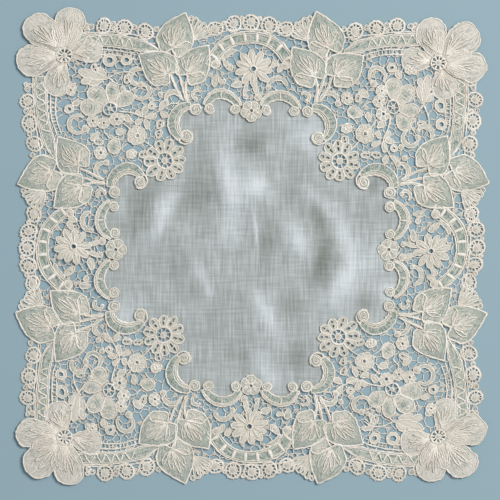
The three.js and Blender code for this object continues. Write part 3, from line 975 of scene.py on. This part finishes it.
# Buds: x, y and radius
buds = (
    (-124, 115, 2.0),
    (-64, 107, 1.8),
    (-86, 66, 2.0),
    (-90, 113, 1.8),
    (5, 105.5, 2.5),
    (-4, 106.5, 1.7),
    (-15.5, 127, 1.6),
    (-114, 100, 1.4),
    (-71, 104, 1.6),
    (-110, 111, 1.5),
)

spray_work = Piece("sprays", sheer_stitches)


def sheer_middle(close):
    """Close stitches near the cord, and as sheer in the middle as close is low."""

    def dense(along, across):
        middle = np.exp(-(((along - 0.6) / 0.3) ** 2) - (across / 0.6) ** 2)
        return 0.78 - (0.78 - close) * 1.3 * middle

    return dense


for x, y, turn, length, width, close in spray_petals:
    # The small, broad and close leaves have two slits
    slit = 0.2 if close > 0.7 and width > 4.4 and length < 8 else 0
    parts = small_petal(0.3, length, width, 1.1, sheer_middle(close), rise=0.4, edge=0.44, slit=slit)
    spray_work.put(moved(parts, x, y, turn), FOUR, stray=0.4)
for x, y, radius, count, hole in rosettes:
    parts = []
    for turn in np.arange(0, 360, 360 / count):
        wide = 2.2 * math.pi * radius * 0.62 / count
        parts += moved(small_petal(hole, radius, wide * 1.35, 1.3, 0.7), x, y, turn)
    parts.append(circle(x, y, hole + 0.4, 1.7, 0.45, 10))
    spray_work.put(parts, FOUR, stray=0.4)
for x, y, radius, hole in rings:
    line = arc(x, y, (radius + hole) / 2, 0, 360, 28)
    strip_parts = band(line, radius - hole, 1.3, dense=0.85, edge=0.42, columns=3)
    parts = [part._replace(loop=None) for part in strip_parts]
    parts.append(circle(x, y, radius, 1.3, 0.45))
    spray_work.put(parts, FOUR, stray=0.4)
spray_work.put(wheel(*spray_wheel, height=1.5, spokes=6), FOUR)
for x, y, radius, start, end, width, bud, both in tendrils:
    line = arc(x, y, radius, start, end, 26)
    wide = width * (0.45 + 0.55 * np.sin(np.pi * np.linspace(0, 1, 26)))
    parts = band(line, wide, 1.1, dense=0.6, edge=0.42)
    tip_x, tip_y = line[-1]
    parts += [button(tip_x, tip_y, bud, 1.3, 0.6), circle(tip_x, tip_y, bud, 1.3, 0.4)]
    spray_work.put(parts, EIGHT if both else FOUR, stray=0.4)
for points in leaf_stems:
    line = soft_line(points)
    stem = cord(raised(line, 1.2), np.linspace(0.72, 0.55, len(line)))
    spray_work.put([stem, side_cord(line, 0.9, 1.0, 0.36)], EIGHT)
for points in spray_stems:
    line = soft_line(points)
    spray_work.put([cord(raised(line, 1.2), np.linspace(0.6, 0.4, len(line)))], FOUR)
for x, y, radius in buds:
    parts = [button(x, y, radius, 1.2, 0.6, 9, 3), circle(x, y, radius, 1.2, 0.42, 10, sides=5)]
    spray_work.put(parts, FOUR, stray=0.4)
spray_work.make()

# The edging: small ring motifs with picots all round the cloth, fans beside the outer leaves, and
# the cord that closes the ground between them.

# Ring motifs: x, y and radius, and the one at the middle of each side
middle_ring = (0, 157.6, 5.6)
edge_rings = (
    (-12.5, 156.5, 5.6),
    (-24.5, 153, 5.4),
    (-74, 153, 5.6),
    (-89, 156, 5.6),
    (-104, 157, 5.4),
)
# Small loops between them: x, y and radius
edge_loops = (
    (-112.3, 156.5, 1.9),
    (-115.6, 157.4, 1.5),
    (-66, 154.5, 1.8),
    (-41.5, 161, 1.8),
    (-33, 151, 1.4),
    (-96.5, 158, 1.9),
    (-81.5, 156, 1.7),
    (-18.5, 157.5, 1.4),
    (-6.2, 160.5, 1.3),
    (-96.5, 154.5, 1.3),
    (-115, 154, 1.6),
)
fan = (-41.5, 146)
fan_turns = (20, 34, 48, 62, 76)
# The cord that closes the ground, through a few points
edge_line = [(0, 152.8), (-10, 152.6), (-24, 150), (-34, 149)]
edge_line += [(-60, 149), (-70, 149), (-92, 152.2), (-122, 152.4)]
medallion_spokes = 11


def medallion(x, y, radius):
    """An oval button inside an open ring, held by uneven spokes, with small picots round it."""
    parts = [circle(0, 0, radius - 0.2, 1.0, 0.5, 26), circle(0, 0, radius + 0.5, 0.9, 0.32, 22)]
    parts += [button(0, 0, 2.9, 1.2, 0.5, 12, 3), circle(0, 0, 3.0, 1.2, 0.42, 16, False)]
    for number in range(medallion_spokes):
        turn = (number + 0.5 * chance(number, x)) * 360 / medallion_spokes
        spoke = [(2.9, 0, 1.1), (4, 0, 1.1), (radius - 0.2, 0, 1.0)]
        parts += moved([cord(spoke, 0.36 + 0.4 * chance(number, x + 1), sides=4)], 0, 0, turn)
        parts += moved([button(radius + 0.7, 0, 0.75, 0.9, 0.3, 6, 2)], 0, 0, turn + 15)
    parts = [part._replace(points=part.points * (1, 0.88, 1)) for part in parts]
    return moved(parts, x, y, 8 * x)


edge_work = Piece("edging", sheer_stitches)
for x, y, radius in edge_rings:
    edge_work.put(medallion(x, y, radius), EIGHT, stray=0.5)
edge_work.put(medallion(*middle_ring), FOUR)
for turn in fan_turns:
    parts = small_petal(1.5, 16.4 - 1.5 * chance(turn, 1), 4.8, 1.1, 0.6, base=0.2, widest=0.8, slit=0.25)
    edge_work.put(moved(parts, *fan, turn), EIGHT)
edge_work.put([cord(raised(soft_line(edge_line), 0.9), 0.5)], EIGHT)
for x, y, radius in edge_loops:
    inner_loop = circle(x, y, radius * 0.5, 1.0, 0.3, 7, False)
    edge_work.put([circle(x, y, radius, 1.0, 0.42, 10), inner_loop], EIGHT)
edge_work.make()

# The ground: thin overcast bars from motif to motif, worked last, which hold the whole border
# together in uneven meshes, with a small knot where bars meet.

bar_pitch = 4.7
bar_radius = 0.37
bar_height = 0.8
left_out = 0.2
ground_half = 160

# The motifs and the open ground as seen from above, cell by cell
cell = 0.4
view_half = 170
side = np.arange(-view_half, view_half, cell)
cell_x, cell_y = np.meshgrid(side, side, indexing="ij")
worked = np.zeros(cell_x.shape, bool)
for outline in outlines:
    low = np.maximum(((outline.min(0) + view_half) / cell).astype(int), 0)
    high = ((outline.max(0) + view_half) / cell).astype(int) + 2
    window = np.s_[low[0] : high[0], low[1] : high[1]]
    worked[window] |= holds(outline, cell_x[window], cell_y[window])
on_linen = holds(linen_edge, cell_x, cell_y)
open_ground = holds(all_round(edge_line), cell_x, cell_y) & ~on_linen & ~worked


def look_up(cells, x, y):
    """The cells' values at some points."""
    column, row = [((place + view_half) / cell).round().astype(int) for place in (x, y)]
    return cells[column, row]


# Uneven meshes: each corner is the middle of three neighbouring seeds, and a share of the seeds
# is left out, which makes wider gaps
rng = np.random.default_rng(11)
columns = np.arange(-ground_half, ground_half + 1, bar_pitch)
rows = np.arange(-ground_half, ground_half + 1, bar_pitch * 0.866)
seeds = np.array([(x + bar_pitch * (i % 2) / 2, y) for i, y in enumerate(rows) for x in columns])
seeds = seeds + rng.uniform(-0.5, 0.5, seeds.shape) * bar_pitch
seeds = seeds[rng.random(len(seeds)) > left_out]
seed_points, triangles = meshed(seeds, [], 0, 1e-5)
corners = np.array([seed_points[list(face)].mean(0) for face in triangles])
neighbours = {}
for number, face in enumerate(triangles):
    for a, b in ((0, 1), (1, 2), (2, 0)):
        neighbours.setdefault(frozenset((face[a], face[b])), []).append(number)
pairs = np.array([pair for pair in neighbours.values() if len(pair) == 2])

# A bar is kept where it crosses open ground and otherwise lies on a motif or the linen
share = np.linspace(0, 1, 15)
start, end = corners[pairs[:, 0]], corners[pairs[:, 1]]
track = start[:, None] + share[None, :, None] * (end - start)[:, None]
inside = abs(track).max((1, 2)) < ground_half
pairs, start, end, track = pairs[inside], start[inside], end[inside], track[inside]
free = look_up(open_ground, track[..., 0], track[..., 1])
on_motif = look_up(worked | on_linen, track[..., 0], track[..., 1])
kept = free.any(1) & (free | on_motif).all(1)
pairs, start, end, track, free = pairs[kept], start[kept], end[kept], track[kept], free[kept]
# Bars with a loose end are taken away, three times over
for _ in range(3):
    meeting = np.bincount(pairs.ravel(), minlength=len(corners))
    loose = (free[:, 0] & (meeting[pairs[:, 0]] < 2)) | (free[:, -1] & (meeting[pairs[:, 1]] < 2))
    pairs, start, end, free = pairs[~loose], start[~loose], end[~loose], free[~loose]

ground_work = Piece("ground", sheer_stitches)
bars = []
for number, (a, b, over_ground) in enumerate(zip(start, end, free)):
    where = np.flatnonzero(over_ground)
    first = share[max(where[0] - 2, 0)]
    last = share[min(where[-1] + 2, len(share) - 1)]
    t = np.linspace(first, last, 4)[:, None]
    sag = np.array([a[1] - b[1], b[0] - a[0]]) * 0.09 * (2 * chance(number, 5) - 1)
    line = a + t * (b - a) + sag * np.sin(np.pi * t)
    bars.append(cord(raised(line, bar_height), bar_radius, sides=5, low=0.5))
# A knot where bars meet, and here and there a larger one
free_ends = np.unique(np.concatenate([pairs[free[:, 0], 0], pairs[free[:, -1], 1]]))
for number in free_ends:
    x, y = corners[number]
    knot = 0.65 if chance(number, 9) < 0.86 else 1.3 + 0.5 * chance(number, 4)
    bars.append(button(x, y, knot, bar_height, 0.3, 7, 2))
ground_work.put(bars)
ground_work.make()

# The linen with the border that it holds is one sheet of cloth, laid flat.

# The plain surface that the cloth lies on, one large soft lamp high up at the far right with even
# light from all round, and the camera straight above.

bpy.ops.mesh.primitive_plane_add(size=4)
surface = bpy.context.object
surface.name = "surface"
surface_material, tree, shader = new_material("surface", 0.95)
shader.inputs["Base Color"].default_value = srgb(150, 176, 188)
surface.data.materials.append(surface_material)

key = bpy.data.lights.new("key", "AREA")
key.size = 1.5
key.energy = 122
key.color = (1.0, 0.97, 0.93)
key_lamp = bpy.data.objects.new("key", key)
key_lamp.location = (2.25, 1.35, 2.55)
key_lamp.rotation_euler = Vector((-0.75, -0.45, -0.85)).to_track_quat("-Z", "Y").to_euler()
bpy.context.collection.objects.link(key_lamp)

world = bpy.data.worlds.new("studio")
world.use_nodes = True
world.node_tree.nodes["Background"].inputs["Color"].default_value = (0.97, 0.98, 1.0, 1)
world.node_tree.nodes["Background"].inputs["Strength"].default_value = 0.38
bpy.context.scene.world = world

camera_data = bpy.data.cameras.new("camera")
camera_data.sensor_width = 36
camera_data.lens = 164
camera_data.dof.use_dof = False
camera = bpy.data.objects.new("camera", camera_data)
camera.location = (-0.00105, -0.00105, 1.6)
bpy.context.collection.objects.link(camera)
bpy.context.scene.camera = camera
bpy.context.scene.view_settings.view_transform = "Standard"
